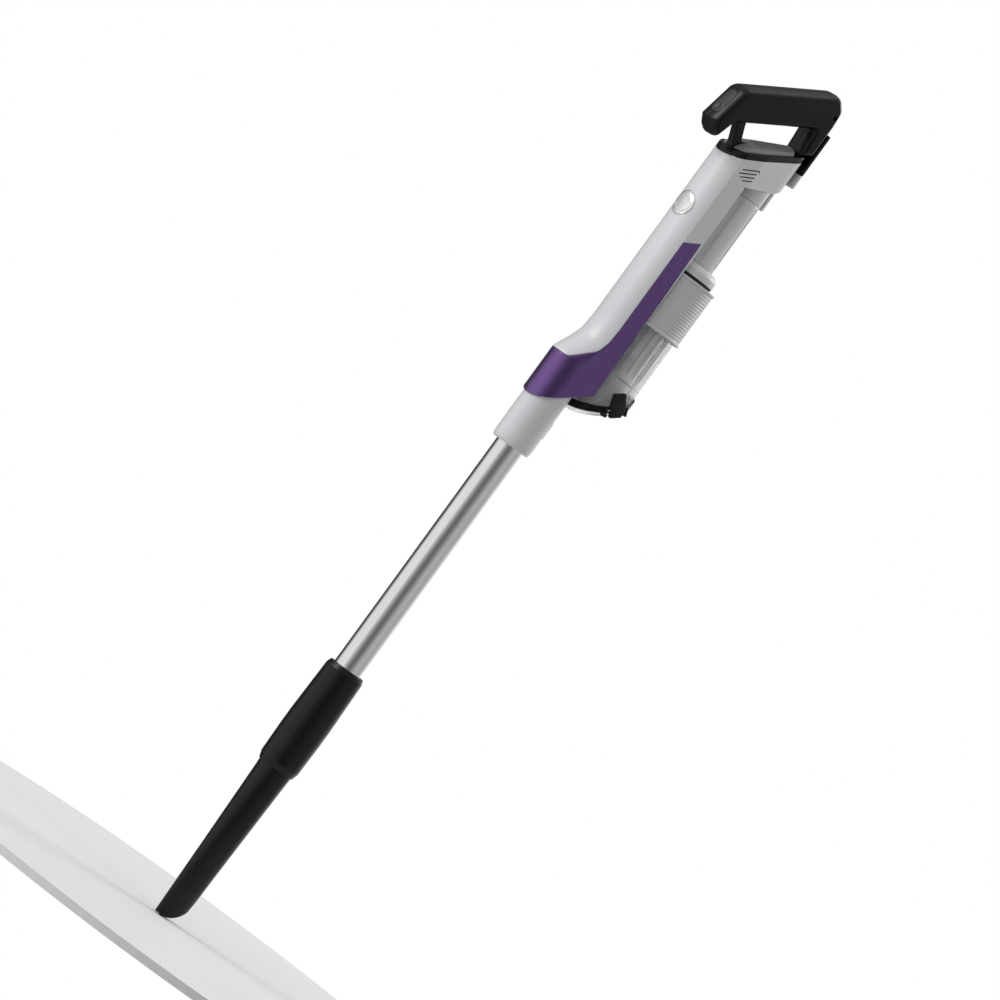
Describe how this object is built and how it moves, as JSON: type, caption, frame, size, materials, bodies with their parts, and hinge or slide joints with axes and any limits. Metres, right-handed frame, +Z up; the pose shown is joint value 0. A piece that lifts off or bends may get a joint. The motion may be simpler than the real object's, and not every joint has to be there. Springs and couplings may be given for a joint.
{
  "type": "cordless stick vacuum",
  "caption": "Cordless stick vacuum: slim upright body with a looped handle, clear dust bin behind it, long metal wand and a crevice tool.",
  "frame": {"origin": "under the middle of the whole vacuum, at the height of the tool's tip, with the wand upright", "axes": "+Z up along the wand, -X to the front (display and badge), +X to the dust bin and dock tongue, -Y to the lid's latch side"},
  "size_m": [0.153, 0.082, 1.2013],
  "materials": {
    "body_plastic": "satin silver-grey moulded plastic",
    "trim_plastic": "pearl purple coated plastic",
    "black_plastic": "satin black moulded plastic, fine grain",
    "chrome_tube": "polished, slightly brushed along the tube",
    "grey_plastic": "mid-grey moulded plastic",
    "grille_plastic": "smoked grey plastic",
    "clear_plastic": "clear polycarbonate, lightly smoked",
    "dark_plastic": "dark grey plastic",
    "display_lens": "glossy tinted window",
    "button_plastic": "soft-touch button",
    "badge": "pearl disc with a raised ring",
    "rubber": "black sealing rubber",
    "steel": "plain steel",
    "motor_metal": "pressed aluminium",
    "copper": "enamelled copper windings",
    "filter": "pleated filter medium",
    "cell_wrap": "shrink-wrapped cell",
    "circuit_board": "green circuit board"
  },
  "bodies": {
    "body": {"wand_socket": "body_plastic", "inlet_elbow": "dark_plastic", "main_housing": "body_plastic", "side_trim": "trim_plastic", "cradle_panel": "body_plastic", "front_badge": "badge", "top_ring": "black_plastic", "exhaust_grille": "grille_plastic", "exhaust_filter": "filter", "motor_can": "motor_metal", "motor_stator": "copper", "motor_mount": "rubber", "battery_cell_1": "cell_wrap", "battery_cell_2": "cell_wrap", "battery_cell_3": "cell_wrap", "battery_cell_4": "cell_wrap", "battery_cell_5": "cell_wrap", "battery_cell_6": "cell_wrap", "battery_tray_lower": "dark_plastic", "battery_tray_upper": "dark_plastic", "battery_board": "circuit_board", "control_board": "circuit_board", "display_lens": "display_lens", "handle_left": "black_plastic", "handle_right": "black_plastic", "handle_screw": "steel", "front_strut": "black_plastic", "dock_tongue": "black_plastic", "contact_block": "body_plastic", "duct_neck": "body_plastic"},
    "wand": {"wand_tube": "chrome_tube", "tool_sleeve": "black_plastic"},
    "crevice_tool": {"crevice_tool": "black_plastic"},
    "tool_button": {"tool_release_button": "black_plastic"},
    "wand_button": {"wand_release_button": "body_plastic"},
    "mode_key": {"mode_button": "button_plastic"},
    "bin_catch": {"bin_release_catch": "body_plastic"},
    "fan": {"impeller": "dark_plastic", "motor_shaft": "steel"},
    "bin": {"air_column": "grey_plastic", "separator_cap": "grey_plastic", "cap_seal": "rubber", "bin_wall": "clear_plastic", "bin_rim": "black_plastic", "separator_shroud": "dark_plastic", "cyclone_cone": "dark_plastic", "pre_motor_filter": "filter", "bin_inlet_spout": "clear_plastic", "lid_hinge_pin": "steel"},
    "compactor": {"compactor_collar": "grey_plastic", "compactor_scraper": "rubber"},
    "lid": {"bin_lid": "clear_plastic", "lid_gasket": "rubber", "latch_pin": "steel"},
    "latch": {"lid_latch": "black_plastic"}
  },
  "joints": [
    {"name": "wand_pull", "type": "slide", "parent": "body", "child": "wand", "axis": [0, 0, -1], "range_m": [0, 0.08]},
    {"name": "tool_pull", "type": "slide", "parent": "wand", "child": "crevice_tool", "axis": [0, 0, -1], "range_m": [0, 0.04]},
    {"name": "tool_button_press", "type": "slide", "parent": "wand", "child": "tool_button", "axis": [-1, 0, 0], "range_m": [0, 0.0018], "stiffness_N_per_m": 600},
    {"name": "wand_button_press", "type": "slide", "parent": "body", "child": "wand_button", "axis": [-1, 0, 0], "range_m": [0, 0.0018], "stiffness_N_per_m": 600},
    {"name": "mode_key_press", "type": "slide", "parent": "body", "child": "mode_key", "axis": [0.9716, 0, -0.2365], "range_m": [0, 0.0007], "stiffness_N_per_m": 500},
    {"name": "bin_catch_press", "type": "slide", "parent": "body", "child": "bin_catch", "axis": [-1, 0, 0], "range_m": [0, 0.0014], "stiffness_N_per_m": 600},
    {"name": "fan_spin", "type": "hinge", "parent": "body", "child": "fan", "pos_m": [0.0201, 0, 1.09491], "axis": [-0.432, 0, 0.9019], "continuous": true},
    {"name": "bin_lift_off", "type": "slide", "parent": "body", "child": "bin", "axis": [0.5, 0, -0.866], "range_m": [0, 0.16]},
    {"name": "compactor_slide", "type": "slide", "parent": "bin", "child": "compactor", "axis": [0, 0, -1], "range_m": [0, 0.055]},
    {"name": "lid_hinge", "type": "hinge", "parent": "bin", "child": "lid", "pos_m": [0.0375, 0.0386, 0.758], "axis": [0.8499, 0, 0.5269], "range_deg": [0, 85]},
    {"name": "latch_rock", "type": "hinge", "parent": "lid", "child": "latch", "pos_m": [0.03487, -0.0388, 0.76225], "axis": [0.8499, 0, 0.5269], "range_deg": [-8, 0], "stiffness_Nm_per_rad": 0.06}
  ]
}
